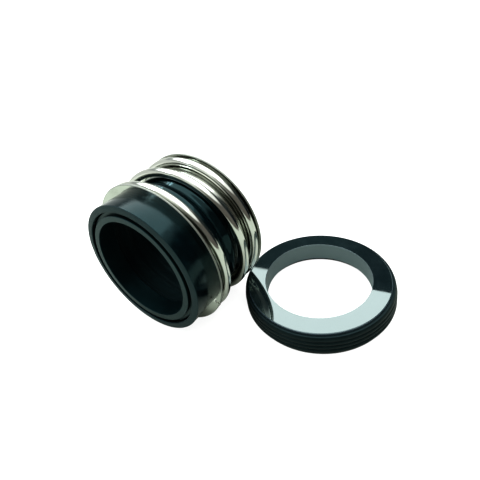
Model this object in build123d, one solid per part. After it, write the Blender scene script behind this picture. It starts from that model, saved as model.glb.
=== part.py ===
from build123d import *
import math
import os

# Mechanical seal for a 43 mm shaft, in millimetres: a sprung rubber bellows head and its seat.
# The seat lies flat: its centre is the origin and its underside is on z = 0.
# The head lies beside it on the rims of its two collars, its axis along Y and its face toward -Y.
# Stations along the head are measured rearward (+Y) from the inner edge of the rubber lip.

# Shaft and the bores round it
shaft_radius = 21.5
ring_bore_clearance = 0.82
seat_bore_clearance = 0.95
tail_grip = 0.1

# Clearance between a moulded or pressed piece and what it seats on
fit_gap = 0.02

# Rotating face ring
nose_setback = 0.02
nose_width = 2.54
nose_length = 1.6
ring_body_width = 4.24
ring_length = 8.7
ring_edge = 0.15
ring_back_edge = 0.4

# Rubber lip and collar of the bellows
pocket_side = 1.5
lip_shoulder = 1.31
lip_slope = 0.4
lip_round = 0.25
mould_line_station = 6.43
mould_step = 0.14
collar_length = 10.3

# Pressed collars
sheet = 0.8
rim_margin = 0.1
rim_round = 0.25
bend_inside = 0.35
front_sleeve_length = 3.0
rear_sleeve_length = 8.6
sleeve_clearance = 0.1

# Slot punched in the front collar, with a small ear turned forward at its inner end
slot_width = 1.2
slot_length = 1.9
slot_rim_margin = 0.3
slot_angle = 117.0
ear_height = 0.5
ear_length = 0.55

# Spring: wire, coil and turn angles, counted from straight up toward +X
wire_diameter = 3.65
spring_length = 27.3
front_tip_angle = -235.0
lift_start_angle = -55.7
lift_end_angle = 92.6
drop_start_angle = 447.1
drop_end_angle = 902.3
rear_tip_angle = 955.0
path_step_angle = 30.0

# Thin wall and tail of the bellows
wall = 2.3
pocket_wall = 2.2
pocket_opening_clearance = 1.6
waist_pull = 2.6
waist_reach = 3.6
crown_height = 0.15
crown_reach = 4.2
crown_place = 0.56
tail_length = 10.5
tail_overhang = 1.3
tail_step = 0.9
tail_edge = 0.4
inner_round = 0.9

# Stationary ring
seat_height = 10.28
seat_face_width = 7.45
seat_ring_height = 8.62
seat_face_edge = 0.25
seat_bore_edge = 0.12
seat_back_edge = 0.4

# Rubber boot of the seat
foot_setback = 1.67
heel_width = 0.51
boot_top_drop = 1.0
boot_top_width = 1.05
boot_wall = 1.83
rib_depth = 0.4
rib_count = 4
rib_low_station = 1.75
rib_pitch = 1.85
top_rib_draw = 0.3

# Place of the head beside the seat
head_rear_y = -7.74
head_gap = 0.45

# Sizes that follow, from the shaft outward
ring_bore_radius = shaft_radius + ring_bore_clearance
nose_radius = ring_bore_radius + nose_width
ring_body_radius = ring_bore_radius + ring_body_width
pocket_radius = ring_body_radius + fit_gap
under_sleeve_radius = pocket_radius + pocket_side
lip_radius = under_sleeve_radius + lip_shoulder
collar_radius = lip_radius - mould_step
sleeve_inner_radius = under_sleeve_radius + fit_gap
sleeve_outer_radius = sleeve_inner_radius + sheet
wire_radius = wire_diameter / 2
coil_radius = sleeve_outer_radius + sleeve_clearance + wire_radius
rim_radius = coil_radius + wire_radius + rim_margin
bend_outside = bend_inside + sheet
tail_bore_radius = shaft_radius - tail_grip

# Stations along the head
pocket_floor = nose_setback + ring_length
front_flange_back = collar_length + sheet
rear_flange_front = front_flange_back + spring_length
rear_flange_back = rear_flange_front + sheet
rear_sleeve_front = rear_flange_back - rear_sleeve_length
tail_end = rear_flange_back + tail_overhang
tail_front = tail_end - tail_length
head_front_y = head_rear_y - rear_flange_back

# Seat, from its bore outward and from the floor up
seat_bore_radius = shaft_radius + seat_bore_clearance
seat_face_radius = seat_bore_radius + seat_face_width
foot_height = seat_height - seat_ring_height
foot_bore_radius = seat_bore_radius + foot_setback
boot_bore_radius = seat_face_radius + fit_gap
boot_heel_radius = boot_bore_radius + heel_width
boot_top = seat_height - boot_top_drop
boot_top_radius = boot_bore_radius + boot_top_width
rib_radius = boot_bore_radius + boot_wall


def turned(outline):
    # A closed outline of (station, radius) turned about the head's axis
    profile = Plane.YZ * make_face(outline)
    return revolve(profile, Axis.Y)


def rounded(profile, corners):
    # Rounds the corners of a flat profile that lie at the given points
    for x, r, size in corners:
        corner = profile.vertices().sort_by_distance((x, r, 0))[0]
        profile = fillet(corner, size)
    return profile


def seal_ring():
    # Face ring: a narrow nose in front of a wider body that sits in the rubber pocket
    back = nose_setback + ring_length
    shoulder = nose_setback + nose_length
    outline = Polyline(
        (nose_setback, ring_bore_radius + ring_edge),
        (nose_setback, nose_radius - ring_edge),
        (nose_setback + ring_edge, nose_radius),
        (shoulder, nose_radius),
        (shoulder, ring_body_radius - ring_back_edge),
        (shoulder + ring_back_edge, ring_body_radius),
        (back - ring_back_edge, ring_body_radius),
        (back, ring_body_radius - ring_back_edge),
        (back, ring_bore_radius + ring_back_edge),
        (back - ring_back_edge, ring_bore_radius),
        (nose_setback + ring_edge, ring_bore_radius),
        close=True,
    )
    return turned(outline)


def bulge(end, rim):
    # One side of the rolled wall, from the front sleeve to a station: a crown between two waists
    start = collar_length + front_sleeve_length
    middle = start + (end - start) * crown_place
    crown = rim + crown_height
    waist = rim - waist_pull
    return [
        Bezier((start, rim), (start + waist_reach, waist), (middle - crown_reach, crown), (middle, crown)),
        Bezier((middle, crown), (middle + crown_reach, crown), (end - waist_reach, waist), (end, rim)),
    ]


def bellows():
    # One moulding: lip, pocket, collar, rolled wall and the tail that grips the shaft
    inside_radius = under_sleeve_radius - wall
    outside = bulge(rear_sleeve_front, under_sleeve_radius)
    inside = bulge(tail_front, inside_radius)
    tail_radius = under_sleeve_radius - tail_step
    pocket_opening = ring_bore_radius + pocket_opening_clearance
    pocket_back = pocket_floor + pocket_wall
    front = Polyline(
        inside[0] @ 0,
        (pocket_back, inside_radius),
        (pocket_back, pocket_opening),
        (pocket_floor, pocket_opening),
        (pocket_floor, pocket_radius),
        (0, pocket_radius),
        (lip_slope, lip_radius),
        (mould_line_station, lip_radius),
        (mould_line_station, collar_radius),
        (collar_length, collar_radius),
        (collar_length, under_sleeve_radius),
        outside[0] @ 0,
    )
    rear = Polyline(
        outside[1] @ 1,
        (rear_flange_back, under_sleeve_radius),
        (rear_flange_back, tail_radius),
        (tail_end, tail_radius),
        (tail_end, tail_bore_radius + tail_edge),
        (tail_end - tail_edge, tail_bore_radius),
        (tail_front + tail_edge, tail_bore_radius),
        (tail_front, tail_bore_radius + tail_edge),
        inside[1] @ 1,
    )
    profile = make_face(Curve() + [front, rear] + outside + inside)
    profile = rounded(profile, [
        (lip_slope, lip_radius, lip_round),
        (0, pocket_radius, lip_round),
        (collar_length, under_sleeve_radius, collar_radius - under_sleeve_radius - fit_gap),
        (tail_end, tail_radius, tail_edge),
        (pocket_back, pocket_opening, lip_round),
        (pocket_back, inside_radius, inner_round),
    ])
    return revolve(Plane.YZ * profile, Axis.Y)


def pressed_collar(flange_out, flange_in, sleeve_end):
    # L-section ring bent from sheet: a flange and a sleeve that stands on its inner edge
    profile = make_face(Polyline(
        (flange_out, rim_radius),
        (flange_in, rim_radius),
        (flange_in, sleeve_outer_radius),
        (sleeve_end, sleeve_outer_radius),
        (sleeve_end, sleeve_inner_radius),
        (flange_out, sleeve_inner_radius),
        close=True,
    ))
    return rounded(profile, [
        (flange_in, sleeve_outer_radius, bend_inside),
        (flange_out, sleeve_inner_radius, bend_outside),
        (flange_out, rim_radius, rim_round),
        (flange_in, rim_radius, rim_round),
    ])


def front_collar():
    profile = pressed_collar(collar_length, front_flange_back, collar_length + front_sleeve_length)
    collar = revolve(Plane.YZ * profile, Axis.Y)
    slot_radius = rim_radius - slot_rim_margin - slot_length / 2
    cutter = Plane.XZ * SlotOverall(slot_length, slot_width, rotation=90)
    cutter = extrude(Pos(0, collar_length, slot_radius) * cutter, sheet, both=True)
    ear_radius = slot_radius - (slot_length + ear_length) / 2 + fit_gap * 5
    ear = Pos(0, collar_length, ear_radius) * Box(slot_width, ear_height * 2, ear_length)
    return collar - cutter.rotate(Axis.Y, slot_angle) + ear.rotate(Axis.Y, slot_angle)


def rear_collar():
    profile = pressed_collar(rear_flange_back, rear_flange_front, rear_sleeve_front)
    return revolve(Plane.YZ * profile, Axis.Y)


def turns_lifted(angle):
    # Lift of the wire in degrees of full pitch: flat end, easing in, full pitch, easing out, flat end
    ease_in = lift_end_angle - lift_start_angle
    ease_out = drop_end_angle - drop_start_angle
    full = drop_start_angle - lift_end_angle
    if angle <= lift_start_angle:
        return 0
    if angle <= lift_end_angle:
        return (angle - lift_start_angle) ** 2 / (2 * ease_in)
    if angle <= drop_start_angle:
        return ease_in / 2 + angle - lift_end_angle
    if angle <= drop_end_angle:
        return ease_in / 2 + full + ease_out / 2 - (drop_end_angle - angle) ** 2 / (2 * ease_out)
    return ease_in / 2 + full + ease_out / 2


def spring():
    # Closed ends rest on the two flanges; the wire climbs between them
    first = front_flange_back + fit_gap + wire_radius
    last = rear_flange_front - fit_gap - wire_radius
    travel = (last - first) / turns_lifted(rear_tip_angle)
    steps = round((rear_tip_angle - front_tip_angle) / path_step_angle)
    centres = []
    for step in range(steps + 1):
        angle = front_tip_angle + (rear_tip_angle - front_tip_angle) * step / steps
        turn = math.radians(angle)
        station = first + travel * turns_lifted(angle)
        centres.append((coil_radius * math.sin(turn), station, coil_radius * math.cos(turn)))
    path = Spline(centres)
    section = Plane(origin=path @ 0, z_dir=path % 0) * Circle(wire_radius)
    return sweep(section, path=path)


def seat_ring():
    outline = Polyline(
        (seat_bore_radius + seat_bore_edge, seat_height),
        (seat_face_radius - seat_face_edge, seat_height),
        (seat_face_radius, seat_height - seat_face_edge),
        (seat_face_radius, foot_height + seat_back_edge),
        (seat_face_radius - seat_back_edge, foot_height),
        (seat_bore_radius + seat_back_edge, foot_height),
        (seat_bore_radius, foot_height + seat_back_edge),
        (seat_bore_radius, seat_height - seat_bore_edge),
        close=True,
    )
    return revolve(Plane.XZ * make_face(outline), Axis.Z)


def seat_boot():
    # L section: a foot under the ring and a ribbed sleeve round it
    root_radius = rib_radius - rib_depth
    ribs = []
    for rib in range(rib_count):
        low = rib_low_station + rib_pitch * rib
        draw = top_rib_draw * (rib == rib_count - 1)
        ribs.append(ThreePointArc(
            (root_radius, low),
            (rib_radius - draw, low + rib_pitch / 2),
            (root_radius - draw, low + rib_pitch),
        ))
    rest = Polyline(
        ribs[-1] @ 1,
        (boot_top_radius, boot_top),
        (boot_bore_radius, boot_top),
        (boot_bore_radius, foot_height),
        (foot_bore_radius, foot_height),
        (foot_bore_radius, 0),
        (boot_heel_radius, 0),
        ribs[0] @ 0,
    )
    return revolve(Plane.XZ * make_face(Curve() + ribs + [rest]), Axis.Z)


def head_axis_x():
    # Far enough from the seat that the rear rim clears the seat's face, its boot top and its top rib
    top_rib = rib_low_station + rib_pitch * (rib_count - 1 / 2)
    edges = [
        (seat_face_radius, seat_height),
        (boot_top_radius, boot_top),
        (rib_radius, top_rib),
    ]
    reach = []
    for radius, height in edges:
        seat_side = math.sqrt(radius ** 2 - head_rear_y ** 2)
        rim_side = math.sqrt(rim_radius ** 2 - (rim_radius - height) ** 2)
        reach.append(seat_side + rim_side)
    return -(max(reach) + head_gap)


on_its_rims = Pos(head_axis_x(), head_front_y, rim_radius)
nodes = {
    "seal_ring": on_its_rims * seal_ring(),
    "bellows": on_its_rims * bellows(),
    "front_collar": on_its_rims * front_collar(),
    "spring": on_its_rims * spring(),
    "rear_collar": on_its_rims * rear_collar(),
    "seat_ring": seat_ring(),
    "seat_boot": seat_boot(),
}

os.makedirs("parts", exist_ok=True)
for name, solid in nodes.items():
    export_step(solid, f"parts/{name}.step")
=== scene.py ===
import math
import bpy
from mathutils import Matrix, Vector


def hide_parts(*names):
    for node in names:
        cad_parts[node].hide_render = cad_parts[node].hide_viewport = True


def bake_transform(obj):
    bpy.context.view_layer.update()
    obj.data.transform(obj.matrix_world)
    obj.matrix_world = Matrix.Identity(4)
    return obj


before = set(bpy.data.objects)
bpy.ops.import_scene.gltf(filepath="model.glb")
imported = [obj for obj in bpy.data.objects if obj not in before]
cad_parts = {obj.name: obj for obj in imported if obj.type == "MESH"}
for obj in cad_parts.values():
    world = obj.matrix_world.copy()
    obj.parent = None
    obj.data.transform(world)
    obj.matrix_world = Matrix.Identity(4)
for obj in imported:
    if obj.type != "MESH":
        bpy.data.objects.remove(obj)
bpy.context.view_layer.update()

print("frame loaded:", ", ".join(sorted(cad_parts)))

mm = 0.001

# The head lies on the rims of its collars; stations run rearward from the inner edge of its lip
head = {
    "axisX": -53.2784,
    "lipY": -46.94,
    "axisHeight": 32.75,
}


def onHead(station, radius=0.0, turn=0.0):
    # turn is counted from straight up toward +X
    return Vector((
        head["axisX"] + radius * math.sin(turn),
        head["lipY"] + station,
        head["axisHeight"] + radius * math.cos(turn),
    )) * mm


class Field:
    # a value that varies over a surface; arithmetic on it adds Math nodes
    def __init__(self, tree, socket):
        self.tree = tree
        self.socket = socket

    def math(self, operation, first, second):
        return addNode(self.tree, "ShaderNodeMath", {"operation": operation}, {0: first, 1: second})

    def __add__(self, other):
        return self.math("ADD", self, other)

    def __radd__(self, other):
        return self.math("ADD", other, self)

    def __sub__(self, other):
        return self.math("SUBTRACT", self, other)

    def __rsub__(self, other):
        return self.math("SUBTRACT", other, self)

    def __mul__(self, other):
        return self.math("MULTIPLY", self, other)

    def __rmul__(self, other):
        return self.math("MULTIPLY", other, self)

    def __truediv__(self, other):
        return self.math("DIVIDE", self, other)

    def __rtruediv__(self, other):
        return self.math("DIVIDE", other, self)

    def __pow__(self, other):
        return self.math("POWER", self, other)

    def __rpow__(self, other):
        return self.math("POWER", other, self)

    def __gt__(self, other):
        return self.math("GREATER_THAN", self, other)

    def __lt__(self, other):
        return self.math("LESS_THAN", self, other)

    def step(self, low, high):
        # 0 below low, 1 above high, eased between them
        return addNode(self.tree, "ShaderNodeMapRange", {"interpolation_type": "SMOOTHSTEP"},
                       {0: self, 1: low, 2: high, 3: 0.0, 4: 1.0})

    def output(self, index):
        # another output of the same node
        return Field(self.tree, self.socket.node.outputs[index])


def addNode(tree, kind, settings=None, sockets=None, out=0):
    node = tree.nodes.new(kind)
    for name, value in (settings or {}).items():
        setattr(node, name, value)
    for name, value in (sockets or {}).items():
        target = node.inputs[name]
        if isinstance(value, Field):
            tree.links.new(value.socket, target)
        elif target.type == "RGBA":
            target.default_value = (*value, 1.0)
        else:
            target.default_value = value
    if node.outputs:
        return Field(tree, node.outputs[out])


def startMaterial(name):
    material = bpy.data.materials.new(name)
    material.use_nodes = True
    material.node_tree.nodes.clear()
    return material, material.node_tree


def endMaterial(tree, sockets, height, depth):
    # height is a field, and 1 in it stands depth metres off the surface
    normal = addNode(tree, "ShaderNodeBump", {},
                     {"Strength": 1.0, "Distance": depth, "Height": height})
    shader = addNode(tree, "ShaderNodeBsdfPrincipled", {}, {**sockets, "Normal": normal})
    addNode(tree, "ShaderNodeOutputMaterial", {}, {"Surface": shader})


def mixColour(tree, share, first, second):
    return addNode(tree, "ShaderNodeMix", {"data_type": "RGBA"}, {0: share, 6: first, 7: second}, 2)


def mixShader(tree, share, first, second):
    return addNode(tree, "ShaderNodeMixShader", {}, {0: share, 1: first, 2: second})


def mixValue(share, first, second):
    # works on fields and on plain numbers
    return first + share * (second - first)


def noise(tree, point, scale, detail, roughness):
    return addNode(tree, "ShaderNodeTexNoise", {"noise_dimensions": "3D"},
                   {"Vector": point, "Scale": scale, "Detail": detail, "Roughness": roughness})


def scaled(tree, place, scale):
    # a point for a noise that is finer in some directions than in others
    x, y, z = [value * factor for value, factor in zip(place, scale)]
    return addNode(tree, "ShaderNodeCombineXYZ", {}, {0: x, 1: y, 2: z})


def objectPoint(tree):
    return addNode(tree, "ShaderNodeTexCoord", {}, {}, 3)


def axes(tree, point):
    x = addNode(tree, "ShaderNodeSeparateXYZ", {}, {0: point})
    return x, x.output(1), x.output(2)


def distance(x, y):
    return (x * x + y * y) ** 0.5


def turnOf(x, y):
    # angle from the second direction toward the first
    return x.math("ARCTAN2", x, y)


def aroundHead(tree):
    # station, radius and turn about the head's axis, in millimetres and radians
    x, y, z = axes(tree, objectPoint(tree))
    across = x / mm - head["axisX"]
    up = z / mm - head["axisHeight"]
    return y / mm - head["lipY"], distance(across, up), turnOf(across, up)


def aroundSeat(tree):
    # height, radius and turn about the seat's axis, in millimetres and radians
    x, y, z = axes(tree, objectPoint(tree))
    return z / mm, distance(x, y) / mm, turnOf(x, y)


def specks(tree, point, cells, size, share):
    # small grains of dust: round spots in a share of the cells
    spot = addNode(tree, "ShaderNodeTexVoronoi", {"feature": "F1"},
                   {"Vector": point, "Scale": cells})
    pick = axes(tree, spot.output(1))[0]
    return (1 - spot.step(size / 2, size)) * (pick < share)


# In a finish a noise is its scale, detail and roughness, and dust is its cells, size and share.
# Edges are where a mask starts and where it is full, in millimetres for a station, radius or
# height. Share, Roughness and Height say how much of a mark gets into colour, gloss and relief.
rubberFinish = {
    "colour": (0.0015, 0.006, 0.008),
    "paleColour": (0.004, 0.014, 0.018),
    "dustColour": (0.3, 0.33, 0.33),
    "lipColour": (0.009, 0.019, 0.023),
    "tint": (0.55, 0.92, 0.97),
    "specularLevel": 0.4,
    "collarRoughness": 0.09,
    "wallRoughness": 0.03,
    "wallEdges": (10.6, 12.0),
    "insideRoughness": 0.62,
    "insideMargin": 0.3,
    "lipRoughness": 0.45,
    "lipEdges": (0.42, 0.62),
    "bloom": (260.0, 4.0, 0.6),
    "bloomEdges": (0.42, 0.72),
    "bloomShare": 0.6,
    "bloomRoughness": 0.04,
    "grain": (2600.0, 3.0, 0.6),
    "grainRoughness": 0.04,
    "bands": (1.0, 4.0, 0.65),
    "bandScale": (1.8, 1.8, 2.2),
    "bandEdges": (0.35, 0.7),
    "bandRoughness": 0.13,
    "bandHeight": 2.0,
    "bandsLostOnWall": 0.85,
    "dust": (300.0, 0.09, 0.07),
    "dustEnd": 10.4,
    "dustHeight": 2.0,
    "bumpDepth": 0.000004,
}


def mouldedRubber():
    finish = rubberFinish
    material, tree = startMaterial("moulded_rubber")
    station, radius, turn = aroundHead(tree)
    point = objectPoint(tree)
    onLip = 1 - station.step(*finish["lipEdges"])
    onWall = station.step(*finish["wallEdges"])
    pocketReach = bellows["ringPocket"] + finish["insideMargin"]
    inside = (radius < pocketReach) * (station > bellows["pocketFloor"])
    bloom = noise(tree, point, *finish["bloom"]).step(*finish["bloomEdges"])
    grain = noise(tree, point, *finish["grain"])
    dust = specks(tree, point, *finish["dust"]) * (station < finish["dustEnd"])
    # faint bands round the collar from its mould, broken up by handling
    bandPoint = scaled(tree, (station, radius, turn), finish["bandScale"])
    bands = noise(tree, bandPoint, *finish["bands"]).step(*finish["bandEdges"])
    bands = bands * (1 - onLip) * (1 - onWall * finish["bandsLostOnWall"])
    colour = mixColour(tree, bloom * finish["bloomShare"], finish["colour"], finish["paleColour"])
    colour = mixColour(tree, dust, colour, finish["dustColour"])
    colour = mixColour(tree, onLip, colour, finish["lipColour"])
    roughness = mixValue(onWall, finish["collarRoughness"], finish["wallRoughness"])
    roughness = mixValue(inside, roughness, finish["insideRoughness"])
    roughness = mixValue(onLip, roughness, finish["lipRoughness"])
    roughness = roughness + bloom * finish["bloomRoughness"] + grain * finish["grainRoughness"]
    endMaterial(tree, {
        "Base Color": colour,
        "Roughness": roughness + bands * finish["bandRoughness"],
        "Specular IOR Level": finish["specularLevel"],
        "Specular Tint": finish["tint"],
    }, grain + bands * finish["bandHeight"] + dust * finish["dustHeight"], finish["bumpDepth"])
    return material


bootFinish = {
    "colour": (0.0035, 0.0055, 0.0065),
    "paleColour": (0.008, 0.012, 0.014),
    "dustColour": (0.34, 0.38, 0.4),
    "tint": (0.55, 0.92, 0.97),
    "specularLevel": 0.32,
    "roughness": 0.42,
    "bloom": (300.0, 4.0, 0.6),
    "bloomEdges": (0.4, 0.75),
    "bloomShare": 0.6,
    "bloomRoughness": 0.08,
    "grain": (3000.0, 3.0, 0.6),
    "grainRoughness": 0.05,
    "dust": (380.0, 0.05, 0.09),
    "dustHeight": 2.0,
    "bumpDepth": 0.000004,
}


def bootRubber():
    finish = bootFinish
    material, tree = startMaterial("boot_rubber")
    point = objectPoint(tree)
    bloom = noise(tree, point, *finish["bloom"]).step(*finish["bloomEdges"])
    grain = noise(tree, point, *finish["grain"])
    dust = specks(tree, point, *finish["dust"])
    colour = mixColour(tree, bloom * finish["bloomShare"], finish["colour"], finish["paleColour"])
    colour = mixColour(tree, dust, colour, finish["dustColour"])
    roughness = finish["roughness"] + bloom * finish["bloomRoughness"]
    endMaterial(tree, {
        "Base Color": colour,
        "Roughness": roughness + grain * finish["grainRoughness"],
        "Specular IOR Level": finish["specularLevel"],
        "Specular Tint": finish["tint"],
    }, grain + dust * finish["dustHeight"], finish["bumpDepth"])
    return material


sheetFinish = {
    "colour": (0.58, 0.6, 0.56),
    "dullColour": (0.44, 0.45, 0.415),
    "roughness": 0.06,
    "rings": (3.0, 3.0, 0.6),
    "ringScale": (4.0, 4.0, 1.5),
    "ringShare": 0.2,
    "ringRoughness": 0.12,
    "stain": (120.0, 3.0, 0.55),
    "stainEdges": (0.45, 0.75),
    "stainShare": 0.5,
    "stainRoughness": 0.05,
    "rimColour": (0.3, 0.31, 0.29),
    "rimEdges": (32.35, 32.6),
    "rimRoughness": 0.45,
    # painted highlight colour for the ear of the slot
    "paintedEarHighlight": (0.9, 0.92, 0.88),
    "earFront": 10.25,
    "bumpDepth": 0.000003,
}


def pressedSheet():
    finish = sheetFinish
    material, tree = startMaterial("pressed_sheet")
    station, radius, turn = aroundHead(tree)
    ringPoint = scaled(tree, (radius, station, turn), finish["ringScale"])
    rings = noise(tree, ringPoint, *finish["rings"])
    stain = noise(tree, objectPoint(tree), *finish["stain"]).step(*finish["stainEdges"])
    dull = stain * finish["stainShare"] + rings * finish["ringShare"]
    colour = mixColour(tree, dull, finish["colour"], finish["dullColour"])
    # the sheared rims are dull, and the ear of the slot gets a painted highlight: its colour is
    # made brighter
    onRim = radius.step(*finish["rimEdges"])
    onEar = station < finish["earFront"]
    colour = mixColour(tree, onRim, colour, finish["rimColour"])
    colour = mixColour(tree, onEar, colour, finish["paintedEarHighlight"])
    roughness = finish["roughness"] + rings * finish["ringRoughness"]
    roughness = roughness + stain * finish["stainRoughness"]
    endMaterial(tree, {
        "Base Color": colour,
        "Metallic": 1.0,
        "Roughness": roughness + onRim * finish["rimRoughness"],
    }, rings, finish["bumpDepth"])
    return material


wireFinish = {
    "colour": (0.6, 0.61, 0.575),
    "dullColour": (0.42, 0.42, 0.385),
    "roughness": 0.05,
    "lines": (3.0, 4.0, 0.65),
    "lineScale": (0.06, 0.25, 0.0),
    "lineShare": 0.25,
    "lineRoughness": 0.1,
    "patches": (1.0, 3.0, 0.5),
    "patchScale": (0.25, 0.03, 3.0),
    "patchEdges": (0.45, 0.8),
    "patchShare": 0.4,
    "bumpDepth": 0.000006,
}


def drawnWire():
    # die lines run along the wire: its map is millimetres along by degrees round, and the third
    # place is the same all over and only picks a layer of the noise
    finish = wireFinish
    material, tree = startMaterial("drawn_wire")
    along, around = axes(tree, addNode(tree, "ShaderNodeTexCoord", {}, {}, 2))[:2]
    place = (along, around, 1.0)
    lines = noise(tree, scaled(tree, place, finish["lineScale"]), *finish["lines"])
    patches = noise(tree, scaled(tree, place, finish["patchScale"]), *finish["patches"])
    patches = patches.step(*finish["patchEdges"])
    dull = patches * finish["patchShare"] + lines * finish["lineShare"]
    endMaterial(tree, {
        "Base Color": mixColour(tree, dull, finish["colour"], finish["dullColour"]),
        "Metallic": 1.0,
        "Roughness": finish["roughness"] + lines * finish["lineRoughness"],
    }, lines, finish["bumpDepth"])
    return material


faceRingFinish = {
    "colour": (0.001, 0.007, 0.009),
    "paleColour": (0.004, 0.015, 0.018),
    "tint": (0.45, 0.88, 0.95),
    "refraction": 1.52,
    "roughness": 0.34,
    "rings": (2.0, 3.0, 0.6),
    "ringScale": (5.0, 2.0, 0.8),
    "ringShare": 0.3,
    "ringRoughness": 0.1,
    "cloud": (220.0, 4.0, 0.6),
    "cloudEdges": (0.4, 0.75),
    "cloudShare": 0.5,
    "bumpDepth": 0.000002,
}


def groundCarbide():
    finish = faceRingFinish
    material, tree = startMaterial("ground_carbide")
    station, radius, turn = aroundHead(tree)
    ringPoint = scaled(tree, (radius, station, turn), finish["ringScale"])
    rings = noise(tree, ringPoint, *finish["rings"])
    cloud = noise(tree, objectPoint(tree), *finish["cloud"]).step(*finish["cloudEdges"])
    pale = cloud * finish["cloudShare"] + rings * finish["ringShare"]
    endMaterial(tree, {
        "Base Color": mixColour(tree, pale, finish["colour"], finish["paleColour"]),
        "Roughness": finish["roughness"] + rings * finish["ringRoughness"],
        "IOR": finish["refraction"],
        "Specular Tint": finish["tint"],
    }, rings, finish["bumpDepth"])
    return material


seatRingFinish = {
    "colour": (0.01, 0.018, 0.02),
    "paleColour": (0.026, 0.04, 0.043),
    "wallColour": (0.024, 0.044, 0.066),
    "tint": (0.86, 1.0, 1.0),
    "refraction": 2.5,
    "faceRoughness": 0.03,
    "wallRoughness": 0.38,
    # the lapped face itself is at 10.28
    "faceEdges": (10.22, 10.27),
    "cloud": (180.0, 4.0, 0.6),
    "cloudEdges": (0.35, 0.75),
    "cloudShare": 0.4,
    "cloudRoughness": 0.015,
    "rings": (2.0, 3.0, 0.6),
    "ringScale": (0.6, 6.0, 2.0),
    "ringRoughness": 0.12,
    "bumpDepth": 0.000003,
}


def lappedCarbide():
    # mirror on the sealing face alone, fine ground everywhere else
    finish = seatRingFinish
    material, tree = startMaterial("lapped_carbide")
    height, radius, turn = aroundSeat(tree)
    onFace = height.step(*finish["faceEdges"])
    cloud = noise(tree, objectPoint(tree), *finish["cloud"]).step(*finish["cloudEdges"])
    ringPoint = scaled(tree, (radius, height, turn), finish["ringScale"])
    rings = noise(tree, ringPoint, *finish["rings"])
    face = mixColour(tree, cloud * finish["cloudShare"], finish["colour"], finish["paleColour"])
    wallRoughness = finish["wallRoughness"] + rings * finish["ringRoughness"]
    faceRoughness = finish["faceRoughness"] + cloud * finish["cloudRoughness"]
    endMaterial(tree, {
        "Base Color": mixColour(tree, onFace, finish["wallColour"], face),
        "Roughness": mixValue(onFace, wallRoughness, faceRoughness),
        "IOR": finish["refraction"],
        "Specular Tint": finish["tint"],
    }, rings * (1 - onFace), finish["bumpDepth"])
    return material


def meshPiece(name, points, faces, material, sharpAngle=35.0, mapping=None):
    mesh = bpy.data.meshes.new(name)
    mesh.from_pydata(points, [], faces)
    if mapping:
        layer = mesh.uv_layers.new(name="along")
        for corner, place in zip(layer.data, mapping):
            corner.uv = place
    mesh.validate()
    mesh.shade_smooth()
    mesh.set_sharp_from_angle(angle=math.radians(sharpAngle))
    piece = bpy.data.objects.new(name, mesh)
    bpy.context.scene.collection.objects.link(piece)
    piece.data.materials.append(material)
    return piece


def sheetPiece(name, corners, material):
    # one flat face with four corners
    return meshPiece(name, corners, [(0, 1, 2, 3)], material)


def roundedOutline(corners, steps):
    # corners are (station, radius, rounding); a rounding of 0 stays sharp
    outline = []
    for index, (x, r, rounding) in enumerate(corners):
        if not rounding:
            outline.append((x, r))
            continue
        here = Vector((x, r))
        before = (Vector(corners[index - 1][:2]) - here).normalized()
        after = (Vector(corners[(index + 1) % len(corners)][:2]) - here).normalized()
        half = before.angle(after) / 2
        centre = here + (before + after).normalized() * rounding / math.sin(half)
        first = here + before * rounding / math.tan(half) - centre
        last = here + after * rounding / math.tan(half) - centre
        sweep = first.angle_signed(last)
        for step in range(steps + 1):
            arm = first.copy()
            arm.rotate(Matrix.Rotation(-sweep * step / steps, 2))
            outline.append(tuple(centre + arm))
    return outline


def turnedPiece(name, outline, material, steps, sharpAngle):
    # a closed outline of (station, radius) turned about the head's axis
    points = []
    faces = []
    size = len(outline)
    for step in range(steps):
        turn = 2 * math.pi * step / steps
        points += [onHead(x, r, turn) for x, r in outline]
        here = step * size
        after = (step + 1) % steps * size
        for index in range(size):
            other = (index + 1) % size
            faces.append((here + index, here + other, after + other, after + index))
    return meshPiece(name, points, faces, material, sharpAngle)


bellows = {
    "ringPocket": 26.58,
    "pocketFloor": 8.72,
    "pocketBack": 10.92,
    "pocketOpening": 23.92,
    "backRound": 0.8,
    "lipRadius": 29.39,
    "lipSlope": 0.4,
    "lipRound": 0.25,
    "mouldLine": 6.43,
    "mouldStep": 0.03,
    "mouldRound": 0.04,
    "collarRadius": 29.25,
    "collarLength": 10.3,
    # behind the collar a slope with two roundings follows the bend of the sheet
    "bendRise": 0.34,
    "bendReach": 1.15,
    "bendRound": 0.3,
    "sleeveSeat": 28.08,
    "frontSleeveEnd": 13.3,
    "rearSleeveFront": 30.6,
    "rearFlangeBack": 39.2,
    "wall": 2.3,
    # folds of the free wall: share of its length, height off the sleeves
    "folds": (
        (0.0, 0.0), (0.14, -0.8), (0.35, 0.55), (0.54, -1.3), (0.72, 0.1), (0.88, -0.5), (1.0, 0.0),
    ),
    "foldSteps": 10,
    "tailRadius": 27.18,
    "tailBore": 21.4,
    "tailFront": 30.0,
    "tailEnd": 40.5,
    "tailEdge": 0.4,
    "tailRound": 0.2,
    "edgeRound": 0.1,
    "roundSteps": 6,
    "steps": 240,
    "sharpAngle": 30.0,
}


def foldedWall(end, rim):
    # rolls and hollows from the front sleeve to a station, eased from one to the next
    start = bellows["frontSleeveEnd"]
    folds = bellows["folds"]
    steps = bellows["foldSteps"]
    points = []
    for (share, height), (nextShare, nextHeight) in zip(folds, folds[1:]):
        for step in range(steps):
            t = step / steps
            station = mixValue(mixValue(t, share, nextShare), start, end)
            rise = mixValue(t * t * (3 - 2 * t), height, nextHeight)
            points.append((station, rim + rise, 0.0))
    return points[1:]


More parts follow.
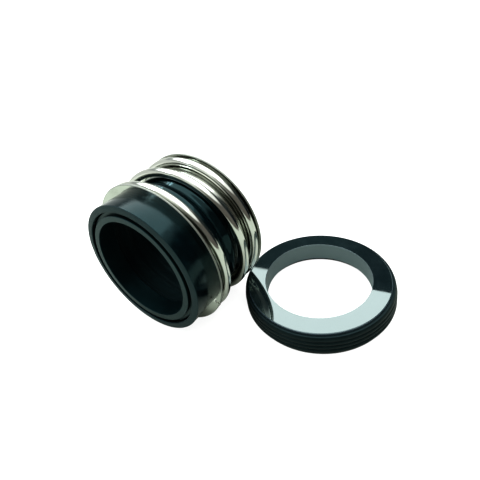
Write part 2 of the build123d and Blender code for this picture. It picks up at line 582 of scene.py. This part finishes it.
def makeBellows(material):
    b = bellows
    inside = b["sleeveSeat"] - b["wall"]
    corners = [
        (b["pocketBack"], inside, b["backRound"]),
        (b["pocketBack"], b["pocketOpening"], b["lipRound"]),
        (b["pocketFloor"], b["pocketOpening"], b["edgeRound"]),
        (b["pocketFloor"], b["ringPocket"], 0.0),
        (0.0, b["ringPocket"], b["lipRound"]),
        (b["lipSlope"], b["lipRadius"], b["lipRound"]),
        (b["mouldLine"], b["lipRadius"], b["mouldRound"]),
        (b["mouldLine"] + b["mouldStep"], b["collarRadius"], b["mouldRound"]),
        (b["collarLength"], b["collarRadius"], 0.0),
        (b["collarLength"] + b["bendRise"], b["sleeveSeat"] + b["bendRise"], b["bendRound"]),
        (b["collarLength"] + b["bendReach"], b["sleeveSeat"], b["bendRound"]),
        (b["frontSleeveEnd"], b["sleeveSeat"], 0.0),
    ]
    corners += foldedWall(b["rearSleeveFront"], b["sleeveSeat"])
    corners += [
        (b["rearSleeveFront"], b["sleeveSeat"], 0.0),
        (b["rearFlangeBack"], b["sleeveSeat"], 0.0),
        (b["rearFlangeBack"], b["tailRadius"], b["tailRound"]),
        (b["tailEnd"], b["tailRadius"], b["tailEdge"]),
        (b["tailEnd"], b["tailBore"] + b["tailEdge"], b["edgeRound"]),
        (b["tailEnd"] - b["tailEdge"], b["tailBore"], b["edgeRound"]),
        (b["tailFront"] + b["tailEdge"], b["tailBore"], b["edgeRound"]),
        (b["tailFront"], b["tailBore"] + b["tailEdge"], b["edgeRound"]),
        (b["tailFront"], inside, 0.0),
    ]
    corners += foldedWall(b["tailFront"], inside)[::-1]
    corners.append((b["frontSleeveEnd"], inside, 0.0))
    outline = roundedOutline(corners, b["roundSteps"])
    piece = turnedPiece("bellows_skin", outline, material, b["steps"], b["sharpAngle"])
    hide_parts("bellows")
    onHead(b["frontSleeveEnd"])
    onHead(b["rearSleeveFront"])
    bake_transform(piece)


# Places along the coil are in degrees, and its stations are those of the wire's middle
coil = {
    "radius": 30.825,
    "wireRadius": 1.825,
    "first": 12.945,
    "last": 36.555,
    "frontTip": -235.0,
    "liftStart": -55.7,
    "liftEnd": 92.6,
    "dropStart": 447.1,
    "dropEnd": 902.3,
    "rearTip": 955.0,
    "endRound": 0.12,
    "firstFree": 16.7,
    "lastFree": 32.8,
    "stepAngle": 2.5,
    "slopeAngle": 0.5,
    "sides": 32,
    "sharpAngle": 40.0,
}


def coilLift(angle):
    # flat end, easing in, full pitch, easing out, flat end
    easeIn = coil["liftEnd"] - coil["liftStart"]
    easeOut = coil["dropEnd"] - coil["dropStart"]
    full = coil["dropStart"] - coil["liftEnd"]
    top = easeIn / 2 + full + easeOut / 2
    if angle <= coil["liftStart"]:
        return 0.0
    if angle <= coil["liftEnd"]:
        return (angle - coil["liftStart"]) ** 2 / (2 * easeIn)
    if angle <= coil["dropStart"]:
        return easeIn / 2 + angle - coil["liftEnd"]
    if angle <= coil["dropEnd"]:
        return top - (coil["dropEnd"] - angle) ** 2 / (2 * easeOut)
    return top


def coilCentre(angle):
    rise = (coil["last"] - coil["first"]) / coilLift(coil["rearTip"])
    return onHead(coil["first"] + rise * coilLift(angle), coil["radius"], math.radians(angle))


def wireRings():
    # each ring is its centre, its two arms, its radius and how far along the wire it is
    angles = [coil["frontTip"]]
    while angles[-1] < coil["rearTip"] - coil["stepAngle"] / 2:
        angles.append(angles[-1] + coil["stepAngle"])
    angles[-1] = coil["rearTip"]
    radius = coil["wireRadius"]
    tipRadius = radius - coil["endRound"]
    inset = coil["endRound"] * mm
    slope = coil["slopeAngle"]
    rings = []
    for angle in angles:
        centre = coilCentre(angle)
        forward = (coilCentre(angle + slope) - coilCentre(angle - slope)).normalized()
        outward = (centre - onHead(centre.y / mm - head["lipY"])).normalized()
        across = forward.cross(outward).normalized()
        outward = across.cross(forward)
        along = math.radians(angle - angles[0]) * coil["radius"]
        sizes = [(0.0, radius)]
        # the sheared tips have a small rounded edge
        if angle == angles[0]:
            sizes = [(0.0, tipRadius), (inset, radius)]
        if angle == angles[-1]:
            sizes = [(-inset, radius), (0.0, tipRadius)]
        rings += [(centre + forward * shift, outward, across, size, along) for shift, size in sizes]
    return rings


def makeSpring(material):
    rings = wireRings()
    sides = coil["sides"]
    points = []
    centres = []
    for centre, outward, across, radius, along in rings:
        for side in range(sides):
            turn = 2 * math.pi * side / sides
            arm = outward * math.cos(turn) + across * math.sin(turn)
            points.append(centre + arm * radius * mm)
            centres.append(centre)
    faces = []
    mapping = []
    for ring in range(len(rings) - 1):
        here, after = ring * sides, (ring + 1) * sides
        near, far = rings[ring][-1], rings[ring + 1][-1]
        for side in range(sides):
            other = (side + 1) % sides
            faces.append((here + side, here + other, after + other, after + side))
            low, high = 360 * side / sides, 360 * (side + 1) / sides
            mapping += [(near, low), (near, high), (far, high), (far, low)]
    faces.append(tuple(range(sides))[::-1])
    faces.append(tuple(range(len(points) - sides, len(points))))
    mapping += [(0.0, 0.0)] * sides * 2
    piece = meshPiece("spring_wire_coil", points, faces, material, coil["sharpAngle"], mapping)
    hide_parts("spring")
    # each wire point is moved to its slice's centre while the transform is baked, then put back on
    # the wire
    vertices = piece.data.vertices
    for vertex, centre in zip(vertices, centres):
        vertex.co = centre
    onHead(coil["firstFree"])
    onHead(coil["lastFree"])
    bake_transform(piece)
    for vertex, point in zip(vertices, points):
        vertex.co = point
    piece.data.update()


finishes = {
    "seal_ring": groundCarbide(),
    "front_collar": pressedSheet(),
    "seat_ring": lappedCarbide(),
    "seat_boot": bootRubber(),
}
finishes["rear_collar"] = finishes["front_collar"]
for node, material in finishes.items():
    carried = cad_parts[node]
    carried.data.materials.clear()
    carried.data.materials.append(material)
print("finishes on the carried pieces:", len(finishes))

makeBellows(mouldedRubber())
print("bellows turned")
makeSpring(drawnWire())
print("spring wound")

shownWhite = (1.0, 1.0, 1.0)


def glowing(tree, colour, strength=1.0):
    return addNode(tree, "ShaderNodeEmission", {}, {"Color": colour, "Strength": strength})


def matt(tree, colour):
    return addNode(tree, "ShaderNodeBsdfDiffuse", {}, {"Color": colour})


# The floor's size and edges are in metres, counted from the seat's axis
floorLook = {
    "size": 8.0,
    "colour": (0.9, 0.9, 0.9),
    "glow": 0.62,
    "glowEdges": (0.3, 0.9),
    "bounceColour": (0.55, 0.585, 0.53),
    "farBounce": (0.95, 1.0, 0.93),
    "bounceEdges": (0.24, 0.32),
    "rightEdges": (-0.15, 0.1),
}


def makeFloor():
    # lit from within where it is seen, so shadows on it stay faint; it bounces less than it shows
    look = floorLook
    material, tree = startMaterial("pale_floor")
    x, y = axes(tree, objectPoint(tree))[:2]
    away = distance(x, y)
    glow = mixValue(away.step(*look["glowEdges"]), look["glow"], 1.0)
    shown = mixShader(tree, glow, matt(tree, look["colour"]), glowing(tree, shownWhite))
    onRight = x.step(*look["rightEdges"])
    far = glowing(tree, mixColour(tree, onRight, look["farBounce"], room["rightColour"]))
    near = matt(tree, look["bounceColour"])
    bounced = mixShader(tree, away.step(*look["bounceEdges"]), near, far)
    surface = mixShader(tree, addNode(tree, "ShaderNodeLightPath"), bounced, shown)
    addNode(tree, "ShaderNodeOutputMaterial", {}, {"Surface": surface})
    half = look["size"] / 2
    corners = [(-half, -half, 0), (half, -half, 0), (half, half, 0), (-half, half, 0)]
    floor = sheetPiece("floor", corners, material)


# Places of the card, the tubes and the box are in millimetres, shadeEdges in metres
blackCard = {
    "place": 60.0,
    "top": ((-110.0, 84.4), (130.0, 51.0)),
    "foot": 25.0,
    "colour": (0.04, 0.06, 0.065),
    "darkColour": (0.01, 0.013, 0.018),
    "shadeEdges": (-0.02, 0.008),
}

lampTubes = {
    # name, place and width
    "tubes": (("lamp_tube_1", -440.0, 14.0), ("lamp_tube_2", -365.0, 22.0)),
    "ends": (-420.0, 150.0),
    "height": 590.0,
    "colour": (0.85, 0.95, 1.0),
    "strength": 24.0,
}


def mirrorCard(name, corners, colour, strength=1.0):
    # seen in reflections only; colour is a plain colour or a function that makes its field
    material, tree = startMaterial(name)
    paint = glowing(tree, colour(tree) if callable(colour) else colour, strength)
    addNode(tree, "ShaderNodeOutputMaterial", {}, {"Surface": paint})
    card = sheetPiece(name, [Vector(corner) * mm for corner in corners], material)
    card.visible_camera = False
    card.visible_diffuse = False
    card.visible_transmission = False
    card.visible_shadow = False


def cardShade(tree):
    share = axes(tree, objectPoint(tree))[0].step(*blackCard["shadeEdges"])
    return mixColour(tree, share, blackCard["colour"], blackCard["darkColour"])


def makeBlackCard():
    # close behind the seat, it gives the dark half of its mirror
    (left, leftTop), (right, rightTop) = blackCard["top"]
    y, foot = blackCard["place"], blackCard["foot"]
    corners = [(left, y, foot), (right, y, foot), (right, y, rightTop), (left, y, leftTop)]
    mirrorCard("black_card", corners, cardShade)


def makeLampTubes():
    # under the box, they leave thin glints on the glossy rubber between the coils
    z = lampTubes["height"]
    front, rear = lampTubes["ends"]
    for name, place, width in lampTubes["tubes"]:
        left, right = place - width / 2, place + width / 2
        corners = [(left, front, z), (right, front, z), (right, rear, z), (left, rear, z)]
        mirrorCard(name, corners, lampTubes["colour"], lampTubes["strength"])


overheadBox = {
    "farEdge": ((-448.0, 545.0), (-116.0, 604.0)),
    "height": 600.0,
    "width": 1000.0,
    "depth": 900.0,
    "radiance": 1.5,
    "colour": (0.96, 1.0, 1.0),
}


def makeOverheadBox():
    # its far edge is set by where the lapped face turns from light to dark
    box = overheadBox
    left, right = [Vector(point) for point in box["farEdge"]]
    along = (right - left).normalized()
    inward = Vector((along.y, -along.x))
    centre = (left + right) / 2 + inward * box["depth"] / 2
    light = bpy.data.lights.new("overhead_box", "AREA")
    light.shape = "RECTANGLE"
    light.size = box["width"] * mm
    light.size_y = box["depth"] * mm
    light.energy = box["radiance"] * math.pi * light.size * light.size_y
    light.color = box["colour"]
    lamp = bpy.data.objects.new("overhead_box", light)
    lamp.location = Vector((centre.x, centre.y, box["height"])) * mm
    lamp.rotation_euler = (0, 0, math.atan2(along.y, along.x))
    bpy.context.scene.collection.objects.link(lamp)


# The room is painted by direction: a pale ceiling and left side with a grey seam between them,
# dark to the right. Edges are shares of a direction, and seam edges are its rise toward the wall.
room = {
    "ceilingColour": (1.1, 1.14, 1.1),
    "ceilingEdges": (0.52, 0.72),
    "leftColour": (0.7, 0.73, 0.7),
    "seamColour": (0.4, 0.43, 0.42),
    "seamEdges": (0.5, 0.65),
    "seamTopEdges": (1.0, 1.2),
    "wallNormal": (-0.94, -0.34),
    "wallReach": 0.4,
    "rightColour": (0.17, 0.165, 0.15),
    "deepColour": (0.05, 0.058, 0.06),
    "deepEdges": (0.25, 0.5),
    "sideEdges": (-0.02, 0.12),
}


def makeRoom():
    world = bpy.data.worlds.new("studio")
    bpy.context.scene.world = world
    world.use_nodes = True
    tree = world.node_tree
    tree.nodes.clear()
    across, back, height = axes(tree, addNode(tree, "ShaderNodeTexCoord"))
    right = mixColour(tree, back.step(*room["deepEdges"]), room["rightColour"], room["deepColour"])
    right = mixColour(tree, height.step(*room["ceilingEdges"]), right, room["ceilingColour"])
    # on the left the wall meets the ceiling along a straight grey seam
    wallX, wallY = room["wallNormal"]
    towardWall = across * wallX + back * wallY
    rise = height / towardWall.math("MAXIMUM", towardWall, room["wallReach"])
    left = mixColour(tree, rise.step(*room["seamEdges"]), room["leftColour"], room["seamColour"])
    left = mixColour(tree, rise.step(*room["seamTopEdges"]), left, room["ceilingColour"])
    colour = mixColour(tree, across.step(*room["sideEdges"]), left, right)
    # where it is seen it is plain white
    colour = mixColour(tree, addNode(tree, "ShaderNodeLightPath"), colour, shownWhite)
    sky = addNode(tree, "ShaderNodeBackground", {}, {"Color": colour, "Strength": 1.0})
    addNode(tree, "ShaderNodeOutputWorld", {}, {"Surface": sky})


# Places and the sensor are in millimetres and angles in radians; the focal length, the centre
# and the image's side are in pixels
camera = {
    "place": (58.484, -113.805, 126.387),
    "yaw": -0.6808,
    "pitch": 0.4984,
    "roll": -0.1784,
    "focal": 387.03,
    "centre": (240.1, 190.9),
    "image": 480.0,
    "sensor": 36.0,
    "clipStart": 5.0,
}


def makeCamera():
    yaw, pitch, roll = camera["yaw"], camera["pitch"], camera["roll"]
    level = math.cos(pitch)
    forward = Vector((math.sin(yaw) * level, math.cos(yaw) * level, -math.sin(pitch)))
    right = Vector((math.cos(yaw), -math.sin(yaw), 0.0))
    up = right.cross(forward)
    rolledRight = right * math.cos(roll) + up * math.sin(roll)
    rolledUp = up * math.cos(roll) - right * math.sin(roll)
    image = camera["image"]
    centreX, centreY = camera["centre"]
    data = bpy.data.cameras.new("camera")
    data.sensor_width = camera["sensor"]
    data.lens = camera["focal"] / image * camera["sensor"]
    data.shift_x = (image / 2 - centreX) / image
    data.shift_y = (centreY - image / 2) / image
    data.clip_start = camera["clipStart"] * mm
    rig = bpy.data.objects.new("camera", data)
    turn = Matrix((rolledRight, rolledUp, -forward)).transposed().to_4x4()
    rig.matrix_world = Matrix.Translation(Vector(camera["place"]) * mm) @ turn
    bpy.context.scene.collection.objects.link(rig)
    bpy.context.scene.camera = rig


makeFloor()
makeBlackCard()
makeLampTubes()
makeOverheadBox()
makeRoom()
makeCamera()
bpy.context.scene.view_settings.view_transform = "Standard"
bpy.context.scene.view_settings.look = "High Contrast"
print("studio set")
